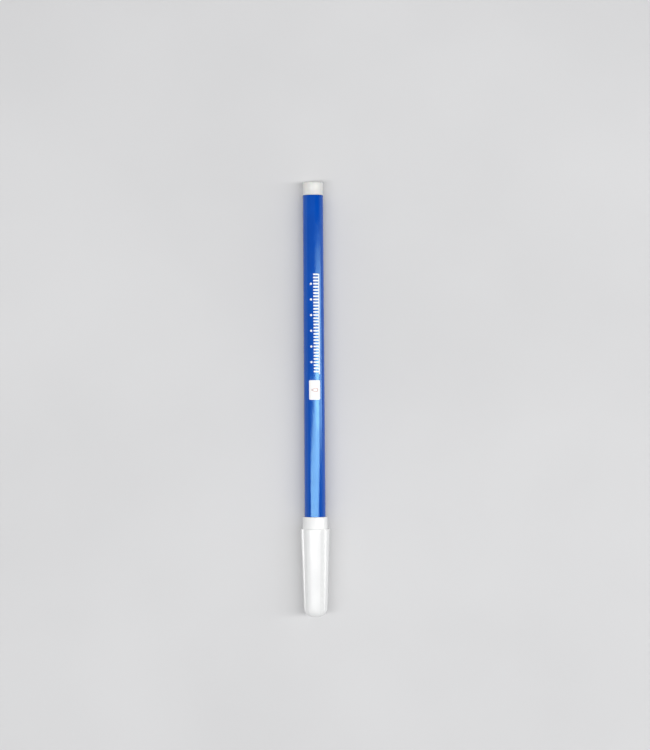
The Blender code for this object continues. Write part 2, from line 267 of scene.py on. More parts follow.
# %% Moulded finishes
barrel_finish = moulded(
    "blue_barrel_plastic",
    (0.0005, 0.066, 0.43),
    (0.0004, 0.057, 0.385),
    0.08,
    0.17,
    IOR=1.5,
    Specular_IOR_Level=0.62,
    Specular_Tint=(0.40, 0.82, 1.0, 1.0),
)
plug_finish = moulded(
    "satin_plug_plastic", (0.73, 0.73, 0.70), (0.67, 0.67, 0.645), 0.34, 0.5, Subsurface_Weight=0.12,
    Subsurface_Scale=0.0008,
)
inner_cap_finish = moulded(
    "soft_inner_cap_plastic", (0.72, 0.71, 0.66), (0.66, 0.65, 0.60), 0.4, 0.55, Subsurface_Weight=0.3,
    Subsurface_Scale=0.0012,
)
holder_finish = moulded(
    "ivory_holder_plastic", (0.74, 0.70, 0.60), (0.68, 0.63, 0.53), 0.3, 0.48, Subsurface_Weight=0.2,
    Subsurface_Scale=0.0006,
)
breather_finish = moulded(
    "breather_tube_plastic", (0.80, 0.81, 0.82), (0.74, 0.75, 0.76), 0.25, 0.42, Subsurface_Weight=0.3,
    Subsurface_Scale=0.0004,
)
print(len(bpy.data.materials), "moulded finishes")

# %% [markdown]
# The cap is the same plastic in white, well filled with pigment, so no light gets in under its skin.
# Years in a sewing box rub it a little duller in places. Its grooves are painted darker: a trace of dust
# there, and painted shade in the recesses between the panels. Where the grooves are, the material reads
# from an attribute that the piece itself carries.

# %% Cap finish
RAISED = "raised"  # the attribute that a turned piece carries: 1 on its panels or ribs, 0 between them


def white_cap_finish():
    made, tree, shader = finish("white_cap_plastic", Coat_Weight=0.12, Coat_Roughness=0.12)
    raised = add_node(tree, "ShaderNodeAttribute", attribute_name=RAISED).outputs["Fac"]
    cloud = ramp(tree, noise(tree, 160, (1, 0.4, 1)), 0.35, 0.65, 0.0, 1.0)
    clean = blend(tree, cloud, (0.785, 0.79, 0.79), (0.82, 0.825, 0.82))
    # Painted shade and dust: the grooves are always drawn at least a tenth of the way to grey, and noise
    # adds uneven dust on top.
    groove_dust_and_shade = ramp(tree, noise(tree, 420, detail=6.0), 0.35, 0.8, 0.1, 0.45)
    dusty_and_shaded = blend(tree, groove_dust_and_shade, clean, (0.70, 0.70, 0.69))
    colour = blend(tree, raised, dusty_and_shaded, clean)
    grain = ramp(tree, noise(tree, 1800, detail=1.0), 0.3, 0.7, 0.0, 0.25)
    rub = ramp(tree, noise(tree, 110, detail=1.0), 0.25, 0.75, 0.0, 0.75)
    roughness = ramp(tree, maths(tree, "ADD", rub, grain), 0.0, 1.0, 0.21, 0.27)
    scratch = ramp(tree, noise(tree, 3000, (1, 0.03, 1), 0.0), 0.62, 0.8, 0.0, 1.0)
    normal = bumps(tree, (noise(tree, 300, detail=0.0), 3e-6), (scratch, 0.4e-6))
    dress(tree, shader, colour, roughness, normal)
    return made


cap_finish = white_cap_finish()
print(cap_finish.name)

# %% [markdown]
# The nib is a rod of pressed polyester fibres, ground to a point. Its fibres run lengthwise, so the
# pattern is drawn out along Y until only fine streaks are left. Ink climbs it by capillary action and
# dries darkest at the point, so the colour follows the distance from there. The ink core is a looser
# bundle of the same kind, and the print is a thin film of white ink with a second one in rose.


# %% Fibre and film finishes
def fibrous(name, dry, wet, dry_end, wet_end, strand):
    """A bundle of lengthwise fibres, dry at one station and wet at another. strand is fibres a metre."""
    made, tree, shader = finish(name, Sheen_Weight=0.25, Sheen_Roughness=0.5)
    streaks = noise(tree, strand, (1, 0.012, 1), 2.0)
    place = add_node(tree, "ShaderNodeTexCoord").outputs["Object"]
    along = add_node(tree, "ShaderNodeSeparateXYZ", {0: place}).outputs["Y"]
    edge = maths(tree, "MULTIPLY_ADD", streaks, 0.0012, along)
    wetness = ramp(tree, edge, dry_end, wet_end, 0.0, 1.0)
    tone = ramp(tree, streaks, 0.35, 0.65, 0.75, 1.0)
    mixed = blend(tree, wetness, dry, wet)
    colour = blend(tree, tone, (0.05, 0.09, 0.18), mixed)
    roughness = ramp(tree, streaks, 0.3, 0.7, 0.95, 0.72)
    dress(tree, shader, colour, roughness, bumps(tree, (streaks, 2.4e-5), (noise(tree, 9000), 4e-6)))
    return made


nib_tip, nib_rear = ends("nib")
core_front, core_rear = ends("ink_core")
nib_finish = fibrous(
    "nib_fibre", (0.66, 0.70, 0.76), (0.035, 0.11, 0.36), nib_tip + 3.6 * MM, nib_tip + 0.9 * MM, 16000
)
core_finish = fibrous(
    "ink_core_fibre", (0.30, 0.46, 0.72), (0.05, 0.17, 0.52), core_rear, core_front, 7000
)
wrap_finish = moulded(
    "clear_wrap_film", (0.76, 0.80, 0.84), (0.68, 0.73, 0.78), 0.08, 0.22, Transmission_Weight=0.5, IOR=1.5
)
ink_finish = moulded("white_print", (0.87, 0.88, 0.87), (0.80, 0.81, 0.81), 0.3, 0.5, peel=1.5e-6)
droplet_finish = moulded("rose_print", (0.60, 0.36, 0.33), (0.52, 0.31, 0.29), 0.32, 0.5, peel=1.5e-6)
print(len(bpy.data.materials), "finishes")

# %% [markdown]
# ## Turning a piece
#
# A turned piece is an outline swept round the pen's axis. Here that is a Geometry Nodes tree. The
# outline comes in as loose points, and each holds three numbers: its station along Y and two radii. A
# Grid gives the faces. Its rows follow the outline and its columns go round. The two radii let one tree
# make panels, ribs and grooves as well: a mask that repeats round the axis chooses between the raised
# radius and the low one.

# %% The tree that turns an outline
FULL_TURN = math.tau


def turning_tree():
    inputs = (
        ("Sides", "Int"),
        ("Repeats", "Int"),
        ("Half angle", "Float"),
        ("Side angle", "Float"),
        ("First angle", "Float"),
        ("Crease angle", "Float"),
        ("Finish", "Material"),
    )
    tree, given = geometry_tree("turned_piece", inputs)
    rows = add_node(tree, "GeometryNodeAttributeDomainSize", {0: given["Geometry"]}).outputs["Point Count"]
    columns = maths(tree, "ADD", given["Sides"], 1.0)
    feeds = {"Vertices X": rows, "Vertices Y": columns}
    grid = add_node(tree, "GeometryNodeMeshGrid", feeds).outputs["Mesh"]
    index = add_node(tree, "GeometryNodeInputIndex").outputs[0]
    row = maths(tree, "FLOOR", maths(tree, "DIVIDE", index, columns))
    column = maths(tree, "SUBTRACT", index, maths(tree, "MULTIPLY", row, columns))
    angle = maths(tree, "MULTIPLY", maths(tree, "DIVIDE", column, given["Sides"]), FULL_TURN)

    pitch = maths(tree, "DIVIDE", FULL_TURN, given["Repeats"])
    half_pitch = maths(tree, "DIVIDE", pitch, 2.0)
    turned = maths(tree, "SUBTRACT", angle, given["First angle"])
    across = maths(tree, "WRAP", turned, half_pitch, maths(tree, "MULTIPLY", half_pitch, -1.0))
    from_middle = maths(tree, "ABSOLUTE", across)
    side_end = maths(tree, "ADD", given["Half angle"], given["Side angle"])
    raised = ramp(tree, from_middle, given["Half angle"], side_end, 1.0, 0.0)

    feeds = {"Geometry": given["Geometry"], "Value": add_node(tree, "GeometryNodeInputPosition").outputs[0]}
    feeds["Index"] = row
    sampled = add_node(tree, "GeometryNodeSampleIndex", feeds, data_type="FLOAT_VECTOR").outputs[0]
    station, high, low = add_node(tree, "ShaderNodeSeparateXYZ", {0: sampled}).outputs
    lift = maths(tree, "MULTIPLY", raised, maths(tree, "SUBTRACT", high, low))
    radius = maths(tree, "ADD", low, lift)
    across_x = maths(tree, "MULTIPLY", radius, maths(tree, "SINE", angle))
    up_z = maths(tree, "MULTIPLY", radius, maths(tree, "COSINE", angle))
    spot = add_node(tree, "ShaderNodeCombineXYZ", {0: across_x, 1: station, 2: up_z}).outputs[0]

    marked = add_node(
        tree,
        "GeometryNodeStoreNamedAttribute",
        {"Geometry": grid, "Name": RAISED, "Value": raised},
        data_type="FLOAT",
        domain="POINT",
    )
    shaped = add_node(tree, "GeometryNodeSetPosition", {"Geometry": marked.outputs[0], "Position": spot})
    feeds = {"Geometry": shaped.outputs[0], "Distance": 1e-7}
    closed = add_node(tree, "GeometryNodeMergeByDistance", feeds).outputs[0]
    smooth = add_node(tree, "GeometryNodeSetShadeSmooth", {0: closed, "Shade Smooth": True}, domain="FACE")
    bend = add_node(tree, "GeometryNodeInputMeshEdgeAngle").outputs["Unsigned Angle"]
    crease = maths(tree, "GREATER_THAN", bend, given["Crease angle"])
    feeds = {0: smooth.outputs[0], "Selection": crease, "Shade Smooth": False}
    creased = add_node(tree, "GeometryNodeSetShadeSmooth", feeds, domain="EDGE")
    end_tree(tree, creased.outputs[0], given["Finish"])
    return tree


turning = turning_tree()
print("turning tree:", len(turning.nodes), "nodes")

# %% [markdown]
# `turn` runs that tree on one outline. A hollow piece has an outer and an inner outline that share
# their end points, and each may have its own repeating pattern, so `piece` welds the surfaces into one
# closed shell and turns its faces outwards. The shell becomes one object at the origin, which rides on
# a body of the pen and stands for the engineering solids it replaces.


# %% Making a piece from outlines
def arc(station, distance, radius, start, end, steps=6):
    """Points of an arc in an outline. Angle 0 points along +Y, and 90 away from the axis."""
    angles = [math.radians(start + (end - start) * i / steps) for i in range(steps + 1)]
    return [(station + radius * math.cos(a), distance + radius * math.sin(a)) for a in angles]


def turn(outline, material, sides=192, repeats=1, half=180.0, side=1.0, first=0.0):
    """The surface of one outline of (station, radius) or (station, raised radius, low radius)."""
    points = [(point[0], point[1], point[-1]) for point in outline]
    values = {"Sides": sides, "Repeats": repeats, "Finish": material}
    values["Half angle"] = math.radians(half)
    values["Side angle"] = math.radians(side)
    values["First angle"] = math.radians(first)
    values["Crease angle"] = math.radians(42)
    return run_tree(turning, points_mesh(points), values)


def piece(name, body, surfaces, replaces=()):
    """Welds surfaces into one shell with outward faces, and hangs it on a body of the pen."""
    bm = bmesh.new()
    for surface in surfaces:
        bm.from_mesh(surface)
    bmesh.ops.remove_doubles(bm, verts=bm.verts, dist=1e-7)
    bmesh.ops.recalc_face_normals(bm, faces=bm.faces)
    open_edges = sum(1 for edge in bm.edges if not edge.is_manifold)
    for face in bm.faces:
        face.material_index = 0
    mesh = bpy.data.meshes.new(name)
    bm.to_mesh(mesh)
    bm.free()
    mesh.materials.append(surfaces[0].materials[-1])
    made = bpy.data.objects.new(name, mesh)
    bpy.context.scene.collection.objects.link(made)
    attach(made, body)
    if replaces:
        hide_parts(*replaces)
    print(f"{name}: {len(mesh.polygons)} faces, {open_edges} open edges")
    return made


# %% [markdown]
# ## The barrel
#
# The barrel is one long moulding. It tapers slightly, so that it lets go of the mould, and ends in an
# ogive nose: an arc that leaves the tube tangentially and closes down to the nib's holder. Its sizes
# are measured first, and two functions give its radius anywhere along it. The print is bent round the
# same sizes, and the inner cap's lip follows the same ogive.

# %% Sizes of the barrel
BARREL_EDGE = 0.12 * MM
NOSE_EDGE = 0.22 * MM
NOSE_STEPS = 28
RIB_RUN_IN = 18 * MM
NEAR_END = 0.2 * MM  # how far from an end its size is still read
nose_start, barrel_radius = widest("barrel")
rear_radius = widest("barrel", barrel_rear - NEAR_END)[1]
nose_radius = widest("barrel", high=barrel_nose + NEAR_END)[1]
holder_bore = narrowest("barrel")[1]
bore = narrowest("barrel", barrel_rear - NEAR_END)[1]
rib_radius = narrowest("barrel", nose_start + 1.5 * MM, barrel_rear - RIB_RUN_IN + 1 * MM)[1]


def ogive_radius(station):
    """The nose's radius at a station."""
    length = nose_start - barrel_nose
    drop = barrel_radius - nose_radius
    sweep = (length**2 + drop**2) / (2 * drop)
    return barrel_radius - sweep + math.sqrt(sweep**2 - (nose_start - station) ** 2)


def barrel_surface_radius(station):
    """The barrel's radius on its straight run, between its rear edge and its nose."""
    share = (barrel_rear - station) / (barrel_rear - nose_start)
    return rear_radius + (barrel_radius - rear_radius) * share


print(f"barrel radius {rear_radius / MM:.2f} to {barrel_radius / MM:.2f} mm, bore {bore / MM:.2f} mm")

# %% [markdown]
# The outline starts at the bore's rear edge, runs forward outside to the nose, and comes back through
# the bore. The rear edge is barely broken, so that the plug's head sits on it almost flush. Ribs in the
# bore leave air round the ink core.

# %% Barrel
BORE_LIP = 0.15 * MM
HOLDER_BORE_LENGTH = 10.5 * MM
BARREL_ROWS = 12
outside = [(barrel_rear, bore + BORE_LIP)]
outside += arc(barrel_rear - BARREL_EDGE, rear_radius - BARREL_EDGE, BARREL_EDGE, 0, 90)
for i in range(1, BARREL_ROWS):
    station = barrel_rear + (nose_start - barrel_rear) * i / BARREL_ROWS
    outside.append((station, barrel_surface_radius(station)))
nose_run = nose_start - barrel_nose - NOSE_EDGE
for i in range(NOSE_STEPS):
    station = nose_start - nose_run * i / NOSE_STEPS
    outside.append((station, ogive_radius(station)))
nose_edge_radius = ogive_radius(barrel_nose + NOSE_EDGE)
outside += arc(barrel_nose + NOSE_EDGE, nose_edge_radius - NOSE_EDGE, NOSE_EDGE, 90, 180)
outside.append((barrel_nose, holder_bore))
cone_end = barrel_nose + HOLDER_BORE_LENGTH
rib_front = nose_start + 2 * MM
rib_rear = barrel_rear - RIB_RUN_IN
inside = [
    (barrel_nose, holder_bore),
    (cone_end, holder_bore),
    (nose_start - 1 * MM, bore),
    (rib_front, bore),
    (rib_front + 0.2 * MM, rib_radius, bore),
    (rib_rear - 0.2 * MM, rib_radius, bore),
    (rib_rear, bore),
    (barrel_rear - BORE_LIP, bore),
    (barrel_rear, bore + BORE_LIP),
]
surfaces = [
    turn(outside, barrel_finish, 192),
    turn(inside, barrel_finish, 192, repeats=4, half=5.0, side=2.0, first=45.0),
]
piece("blue_barrel", "pen", surfaces, ["barrel"])

# %% [markdown]
# ## The rear plug
#
# The plug closes the barrel. Only its head shows: a softly rounded edge, a fine line round it, and a
# shallow dish with the small scar of the moulding gate. Its hollow spigot is pressed into the bore. Its
# sizes are measured first.

# %% Sizes of the rear plug
PLUG_EDGE = 0.55 * MM
DISH_RADIUS = 2.5 * MM
DISH_DEPTH = 0.22 * MM
SPIGOT_LENGTH = 10.5 * MM
SPIGOT_WALL = 0.75 * MM
plug_radius = widest("rear_plug")[1]
head_end = barrel_rear + FIT
spigot_front = head_end - SPIGOT_LENGTH
spigot_radius = widest("rear_plug", spigot_front, spigot_front + 1 * MM)[1]
seal_radius = widest("rear_plug", plug_front, head_end - 1 * MM)[1]
cavity_radius = spigot_radius - SPIGOT_WALL
pin_radius = widest("rear_plug", high=plug_front + NUDGE)[1]


def gate_scar(floor, towards):
    """The outline of a moulding gate's scar on a floor, which stands out towards +Y (1) or -Y (-1)."""
    return [(floor + towards * 0.07 * MM, 0), (floor + towards * 0.06 * MM, 0.34 * MM), (floor, 0.44 * MM)]


print(f"plug head {(plug_end - head_end) / MM:.2f} mm long, radius {plug_radius / MM:.2f} mm")

# %% [markdown]
# The head's outline runs from the middle of its end outwards and forward. The spigot's goes on from
# there. It carries two seal rings, each a short hump, and turns back inside to the pin in the middle
# that stops the core.

# %% Rear plug
RING_HALF = 0.45 * MM
LINE_DEPTH = 0.06 * MM
dish_floor = plug_end - DISH_DEPTH
head = gate_scar(dish_floor, 1)
head += [(dish_floor, DISH_RADIUS - 0.35 * MM), (dish_floor + 0.05 * MM, DISH_RADIUS - 0.15 * MM)]
head += arc(plug_end - 0.12 * MM, DISH_RADIUS + 0.1 * MM, 0.12 * MM, -90, 0, 4)
head += arc(plug_end - PLUG_EDGE, plug_radius - PLUG_EDGE, PLUG_EDGE, 0, 90, 10)
head += [(head_end + 0.75 * MM, plug_radius), (head_end + 0.66 * MM, plug_radius - LINE_DEPTH)]
head += [(head_end + 0.46 * MM, plug_radius - LINE_DEPTH), (head_end + 0.37 * MM, plug_radius)]
head += arc(head_end + 0.1 * MM, plug_radius - 0.1 * MM, 0.1 * MM, 90, 180, 4)
spigot = [(head_end, spigot_radius)]
swell = seal_radius - spigot_radius
for ring in (head_end - 2.05 * MM, head_end - 5.85 * MM):
    for a in np.linspace(0, math.pi, 9):
        spigot.append((ring + RING_HALF * math.cos(a), spigot_radius + swell * math.sin(a)))
spigot += [(spigot_front + 0.8 * MM, spigot_radius), (spigot_front, spigot_radius - 0.3 * MM)]
spigot += [(spigot_front, cavity_radius), (head_end + 0.8 * MM, cavity_radius)]
spigot += [(head_end + 0.8 * MM, pin_radius * 1.15), (plug_front, pin_radius), (plug_front, 0)]
piece("rear_plug_moulding", "pen", [turn(head + spigot, plug_finish)], ["rear_plug"])

# %% [markdown]
# ## The cap
#
# The cap is the piece that a hand looks for. A plain round collar leads to four wide raised panels,
# with a flat groove between each two for the fingers, and all of it tapers to a rounded end. The outer
# outline therefore has two radii: one on the panels, and one in the grooves. Both functions below give
# a row of it.

# %% Sizes of the cap
CAP_SIDES = 720
PANEL_COUNT = 4
PANEL_HALF = 30.8  # degrees of a panel's flat top, to each side of its middle
PANEL_SIDE = 3.2  # degrees that a panel's rounded side takes
PANEL_TURN = -7.5  # degrees from straight up to the top panel's middle
PANEL_EDGE = 0.25 * MM
DOME_RADIUS = 3.0 * MM
END_GROOVE = 0.2 * MM
MOUTH_EDGE = 0.16 * MM
cap_step = widest("cap")[0]
panel_radius = min(cad_high.x, cad_high.z, -cad_low.x, -cad_low.z)
collar_radius = narrowest("cap", cap_step - NUDGE, cap_step + NUDGE)[1]
mouth_radius = widest("cap", cap_mouth - MOUTH_EDGE)[1]
dome_start = cap_end + DOME_RADIUS
end_radius = widest("cap", high=dome_start + NUDGE)[1]
groove_depth = panel_radius - collar_radius
grip_radius = narrowest("cap", cap_mouth - 3 * MM)[1]
mouth_bore = grip_radius + 0.06 * MM
cap_radii = (mouth_radius, collar_radius, panel_radius, end_radius, grip_radius)
print("cap radii:", [round(radius / MM, 3) for radius in cap_radii])


def panel_row(share):
    """A row of the cap's side, from the step (share 0) to where the end rounds off (share 1)."""
    station = cap_step + (dome_start - cap_step) * share
    panel = panel_radius + (end_radius - panel_radius) * share
    return station, panel, panel - groove_depth - (END_GROOVE - groove_depth) * share


def dome_row(angle):
    """A row of the rounded end, where the grooves run out."""
    panel = end_radius - DOME_RADIUS * (1 - math.cos(angle))
    return dome_start - DOME_RADIUS * math.sin(angle), panel, panel - END_GROOVE * (1 - math.sin(angle))


# %% [markdown]
# From the mouth, the outline passes the collar and steps up to the panels, whose edge is rounded by an
# arc that only the raised radius follows. The end has a gate scar in a small dimple.

# %% Outside of the cap
PANEL_ROWS = 16
DOME_ROWS = 16
mouth_wall = mouth_bore + 0.15 * MM
cap_outside = [(cap_mouth, mouth_wall)]
cap_outside += arc(cap_mouth - MOUTH_EDGE, mouth_radius - MOUTH_EDGE, MOUTH_EDGE, 0, 90)
cap_outside += [(cap_step + 0.12 * MM, collar_radius - 0.01 * MM), (cap_step, collar_radius)]
cap_outside.append((cap_step - 0.03 * MM, collar_radius + 0.08 * MM, collar_radius))
edge_centre = cap_step - 0.05 * MM - PANEL_EDGE
for station, radius in arc(edge_centre, panel_radius - PANEL_EDGE, PANEL_EDGE, 0, 90, 8):
    share = (cap_step - station) / (cap_step - dome_start)
    row = panel_row(share)
    cap_outside.append((station, radius + row[1] - panel_radius, row[2]))
cap_outside += [panel_row((i + 1) / PANEL_ROWS) for i in range(PANEL_ROWS)]
cap_outside += [dome_row(math.radians(90) * (i + 1) / DOME_ROWS) for i in range(DOME_ROWS)]
dimple = cap_end + 0.14 * MM
cap_outside += arc(cap_end + 0.08 * MM, 1.05 * MM, 0.08 * MM, 180, 270, 3)
cap_outside += [(dimple, 0.86 * MM)] + gate_scar(dimple, -1)[::-1]
print(len(cap_outside), "points in the outline")

# %% [markdown]
# Inside, six low ribs near the mouth grip the barrel. Behind them the bore narrows to the socket that
# holds the inner cap. With its own repeating pattern, the inside is a second surface, and both are
# welded at the mouth.

# %% Inside of the cap
MOUTH_DEPTH = 6.8 * MM
SOCKET_DEPTH = 21.8 * MM
cap_floor = ends("inner_cap")[0] - FIT
socket_radius = widest("inner_cap")[1] + FIT
socket_start = cap_mouth - SOCKET_DEPTH
mouth_end = cap_mouth - MOUTH_DEPTH
cap_inside = [
    (cap_mouth, mouth_wall),
    (cap_mouth - 0.05 * MM, mouth_bore + 0.05 * MM),
    (cap_mouth - 0.15 * MM, mouth_bore),
    (cap_mouth - 0.8 * MM, mouth_bore),
    (cap_mouth - 1.1 * MM, grip_radius, mouth_bore),
    (mouth_end + 0.6 * MM, grip_radius, mouth_bore),
    (mouth_end + 0.3 * MM, mouth_bore),
    (mouth_end, mouth_bore),
    (mouth_end - 0.4 * MM, mouth_bore - 0.06 * MM),
    (socket_start + 0.2 * MM, socket_radius + 0.08 * MM),
    (socket_start, socket_radius),
    (cap_floor, socket_radius),
    (cap_floor, 0),
]
surfaces = [
    turn(cap_outside, cap_finish, CAP_SIDES, PANEL_COUNT, PANEL_HALF, PANEL_SIDE, PANEL_TURN),
    turn(cap_inside, cap_finish, CAP_SIDES, repeats=6, half=3.0, side=1.5, first=30.0),
]
piece("panelled_cap", "cap", surfaces, ["cap"])

# %% [markdown]
# ## The inner cap
#
# A soft cup sits deep in the cap. Its lip presses on the nose, and so it keeps the nib from drying out.
# It is a simple turned cup, with a broken outer edge, so that it could be pushed into its socket.

# %% Inner cap
CUP_WALL = 0.45 * MM
LIP_GAP = 0.06 * MM
LIP_DEPTH = 0.8 * MM
inner_end, inner_mouth = ends("inner_cap")
inner_radius = widest("inner_cap")[1]
cup_bore = inner_radius - CUP_WALL
cup = [(inner_mouth, ogive_radius(inner_mouth) + LIP_GAP)]
cup += arc(inner_mouth - 0.12 * MM, inner_radius - 0.24 * MM, 0.12 * MM, 0, 45, 3)
cup += [(inner_mouth - 0.3 * MM, inner_radius), (inner_end + 0.3 * MM, inner_radius)]
cup += [(inner_end, inner_radius - 0.3 * MM), (inner_end, 0)]
cup_inside = [
    (inner_end + 0.7 * MM, 0),
    (inner_end + 0.7 * MM, cup_bore - 0.3 * MM),
    (inner_end + 1.0 * MM, cup_bore),
    (inner_mouth - 2 * LIP_DEPTH, cup_bore),
    (inner_mouth - LIP_DEPTH, ogive_radius(inner_mouth - LIP_DEPTH) + LIP_GAP),
    (inner_mouth, ogive_radius(inner_mouth) + LIP_GAP),
]
surfaces = [turn(cup, inner_cap_finish, 144), turn(cup_inside, inner_cap_finish, 144)]
piece("sealing_inner_cap", "inner_cap", surfaces, ["inner_cap"])

# %% [markdown]
# ## Nib and holder
#
# The holder is a small flanged bush: its flange sits on the end of the nose, its tapered front steadies
# the nib, and four grooves along its bore let air back into the pen as ink leaves it.

# %% Nib holder
holder_front, holder_rear = ends("nib_holder")
nib_radius = widest("nib")[1]
flange_radius = widest("nib_holder")[1]
flange_front = holder_front + 1.8 * MM
flange_rear = barrel_nose - FIT
front_radius = widest("nib_holder", high=holder_front + NUDGE)[1]
cone_radius = front_radius + 0.35 * MM
body_radius = holder_bore - FIT
holder_hole = nib_radius + FIT
holder_outside = [(holder_front, holder_hole + 0.04 * MM)]
holder_outside += arc(holder_front + 0.08 * MM, front_radius - 0.08 * MM, 0.08 * MM, 180, 90, 4)
holder_outside.append((flange_front - 0.06 * MM, cone_radius - 0.01 * MM))
holder_outside.append((flange_front, cone_radius + 0.05 * MM))
holder_outside += arc(flange_front + 0.1 * MM, flange_radius - 0.1 * MM, 0.1 * MM, 180, 90, 4)
holder_outside += [(flange_rear - 0.04 * MM, flange_radius), (flange_rear, flange_radius - 0.04 * MM)]
holder_outside += [(flange_rear, body_radius), (holder_rear - 0.4 * MM, body_radius)]
holder_outside += [(holder_rear, body_radius - 0.2 * MM), (holder_rear, holder_hole)]
vent_floor = holder_hole + 0.22 * MM
holder_inside = [
    (holder_front, holder_hole + 0.04 * MM),
    (holder_front + 0.04 * MM, holder_hole),
    (flange_front - 0.1 * MM, holder_hole),
    (flange_front, vent_floor, holder_hole),
    (holder_rear - 0.1 * MM, vent_floor, holder_hole),
    (holder_rear, holder_hole),
]
surfaces = [
    turn(holder_outside, holder_finish, 128),
    turn(holder_inside, holder_finish, 128, repeats=4, half=8.0, side=3.0),
]
piece("nib_holder_bush", "pen", surfaces, ["nib_holder"])

# %% [markdown]
# The nib is a plain rod with a ground cone and a rounded point. Its edge is softened, as it is after
# the first few lines, and its rear end is broken, so that it enters the ink core easily.

# %% Nib
NIB_POINT = 0.35 * MM
NIB_CONE_LENGTH = 2.3 * MM
nib_cone = nib_tip + NIB_CONE_LENGTH
rod = []
for a in np.radians(range(0, 71, 7)):
    rod.append((nib_tip + NIB_POINT * (1 - math.cos(a)), NIB_POINT * math.sin(a)))
rod += [(nib_cone - 0.1 * MM, nib_radius - 0.12 * MM), (nib_cone + 0.05 * MM, nib_radius - 0.05 * MM)]
rod += [(nib_cone + 0.3 * MM, nib_radius), (nib_rear - 0.5 * MM, nib_radius)]
rod += [(nib_rear, nib_radius - 0.3 * MM), (nib_rear, 0)]
piece("fibre_nib", "pen", [turn(rod, nib_finish, 96)], ["nib"])

# %% [markdown]
# ## The ink reservoir
#
# Out of sight in the barrel lies the core, a bundle of fibres soaked in ink. A fine breather tube lies
# in a slot along it. The slot is the low part of a pattern that repeats only once, and the core's front
# has the bore that takes the nib.

# %% Ink core
core_radius = widest("ink_core")[1]
nib_bore = nib_radius + 0.06 * MM
bore_depth = nib_rear + 0.1 * MM
tube_low, tube_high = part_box("breather_tube")
tube_radius = (tube_high.z - tube_low.z) / 2
tube_offset = (tube_low.x + tube_high.x) / 2
slot_floor = tube_offset - tube_radius - FIT
slot_half = math.degrees(math.asin((tube_radius + FIT) / slot_floor))
bundle = [
    (core_rear, 0),
    (core_rear, slot_floor - 0.1 * MM),
    (core_rear, core_radius - 0.1 * MM, slot_floor),
    (core_rear - 0.1 * MM, core_radius, slot_floor),
    (core_front + 0.1 * MM, core_radius, slot_floor),
    (core_front, core_radius - 0.1 * MM, slot_floor),
    (core_front, nib_bore),
    (bore_depth, nib_bore),
    (bore_depth, 0),
]
surface = turn(bundle, core_finish, 240, repeats=1, half=178.0 - slot_half, side=2.0, first=270.0)
piece("ink_core_bundle", "pen", [surface], ["ink_core"])

# %% [markdown]
# A thin film sleeve keeps the ink off the barrel, and the breather tube lets air pass the core. Both
# are plain tubes, so one function closes the outline of either. The breather tube is turned on the axis
# like all the rest, and then moved across to its slot.


# %% Core wrap and breather tube
def tube_outline(rear, front, outer, inner):
    """The closed outline of a plain tube, from its rear inner edge and back to it."""
    return [(rear, inner), (rear, outer), (front, outer), (front, inner), (rear, inner)]


BREATHER_WALL = 0.2 * MM
wrap_front, wrap_rear = ends("core_wrap")
wrap_outer = widest("core_wrap")[1]
wrap_inner = narrowest("core_wrap")[1]
sleeve = tube_outline(wrap_rear, wrap_front, wrap_outer, wrap_inner)
piece("core_wrap_film", "pen", [turn(sleeve, wrap_finish, 144)], ["core_wrap"])

straw = tube_outline(tube_high.y, tube_low.y, tube_radius, tube_radius - BREATHER_WALL)
surface = turn(straw, breather_finish, 48)
surface.transform(Matrix.Translation((tube_offset, 0, 0)))
piece("breather_straw", "pen", [surface], ["breather_tube"])

# %% [markdown]
# ## The print
#
# The barrel carries a white pad print: here a row of blanket stitches, for what the pen is used on, and
# a badge with a water drop, because its marks wash out. Both are plain motifs of this notebook's own.
# Pad printing leaves a real film of ink, so the art is drawn flat first, in distances round and along
# the barrel, and a second tree thickens it and bends it round the barrel's taper.


# %% The tree that wraps flat art round the barrel
def wrapping_tree():
    names = ("Film", "Sink", "Rear station", "Rear radius", "Front station", "Front radius")
    inputs = [(name, "Float") for name in names]
    tree, given = geometry_tree("wrapped_print", inputs + [("Finish", "Material")])
    upwards = add_node(tree, "ShaderNodeCombineXYZ", {"Z": 1.0}).outputs[0]
    feeds = {"Mesh": given["Geometry"], "Offset": upwards, "Offset Scale": given["Film"]}
    feeds["Individual"] = False
    top = add_node(tree, "GeometryNodeExtrudeMesh", feeds, mode="FACES").outputs["Mesh"]
    base = add_node(tree, "GeometryNodeFlipFaces", {"Mesh": given["Geometry"]}).outputs[0]
    both = tree.nodes.new("GeometryNodeJoinGeometry")
    tree.links.new(top, both.inputs[0])
    tree.links.new(base, both.inputs[0])
    feeds = {"Geometry": both.outputs[0], "Distance": 1e-7}
    closed = add_node(tree, "GeometryNodeMergeByDistance", feeds).outputs[0]

    place = add_node(tree, "GeometryNodeInputPosition").outputs[0]
    around, along, height = add_node(tree, "ShaderNodeSeparateXYZ", {0: place}).outputs
    feeds = dict(zip(range(5), [along] + [given[name] for name in names[2::2] + names[3::2]]))
    radius = add_node(tree, "ShaderNodeMapRange", feeds, clamp=False).outputs[0]
    angle = maths(tree, "DIVIDE", around, radius)
    out = maths(tree, "ADD", radius, maths(tree, "SUBTRACT", height, given["Sink"]))
    across_x = maths(tree, "MULTIPLY", out, maths(tree, "SINE", angle))
    up_z = maths(tree, "MULTIPLY", out, maths(tree, "COSINE", angle))
    spot = add_node(tree, "ShaderNodeCombineXYZ", {0: across_x, 1: along, 2: up_z}).outputs[0]
    bent = add_node(tree, "GeometryNodeSetPosition", {"Geometry": closed, "Position": spot}).outputs[0]
    end_tree(tree, bent, given["Finish"])
    return tree


wrapping = wrapping_tree()
print("wrapping tree:", len(wrapping.nodes), "nodes")
FILM = 0.02 * MM
FILM_SINK = 0.006 * MM


